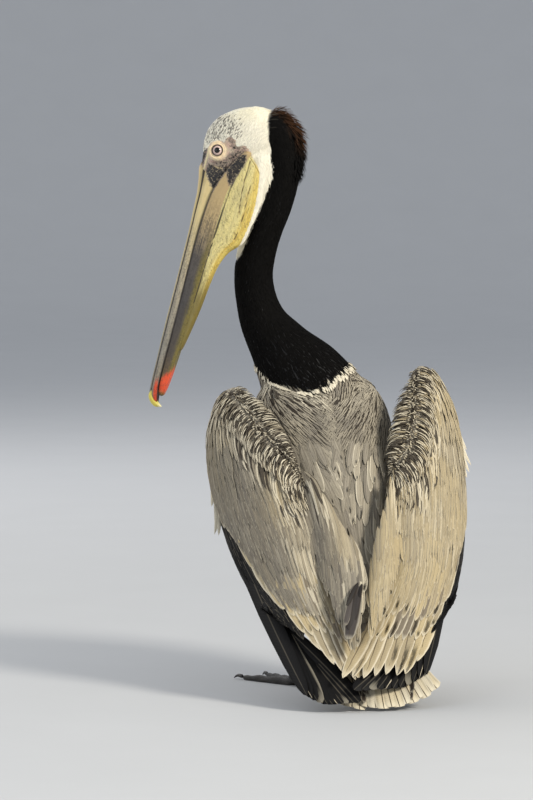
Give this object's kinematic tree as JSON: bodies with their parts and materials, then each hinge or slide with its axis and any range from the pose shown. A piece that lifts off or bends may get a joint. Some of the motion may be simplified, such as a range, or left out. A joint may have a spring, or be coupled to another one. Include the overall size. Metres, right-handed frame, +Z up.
{
  "type": "brown pelican model",
  "caption": "Life-size standing pelican with folded wings, curved neck, head turned to its left and bill pointing down.",
  "frame": {"origin": "centre of the bounding box in plan, on the floor under the soles", "axes": "+Z up; the breast faces -Y; the bird's left side is +X"},
  "size_m": [0.4138, 0.417, 0.7644],
  "materials": {
    "white_feather": "matt",
    "dark_feather": "matt",
    "silver_feather": "satin",
    "bill_horn": "satin",
    "pouch_skin": "wrinkled",
    "leg_skin": "scaly",
    "claw_horn": "gloss",
    "eye": "wet gloss"
  },
  "bodies": {
    "root": {"head": "white_feather", "eye_left": "eye", "eye_right": "eye", "bill_upper": "bill_horn", "bill_lower": "bill_horn", "pouch": "pouch_skin", "neck_upper": "dark_feather", "neck_middle": "dark_feather", "neck_lower": "dark_feather", "torso": "silver_feather", "tail": "silver_feather", "wing_left": "silver_feather", "wing_right": "silver_feather", "thigh_left": "dark_feather", "shank_left": "leg_skin", "foot_left": "leg_skin", "claw_left_1": "claw_horn", "claw_left_2": "claw_horn", "claw_left_3": "claw_horn", "claw_left_4": "claw_horn", "thigh_right": "dark_feather", "shank_right": "leg_skin", "foot_right": "leg_skin", "claw_right_1": "claw_horn", "claw_right_2": "claw_horn", "claw_right_3": "claw_horn", "claw_right_4": "claw_horn"}
  },
  "joints": []
}
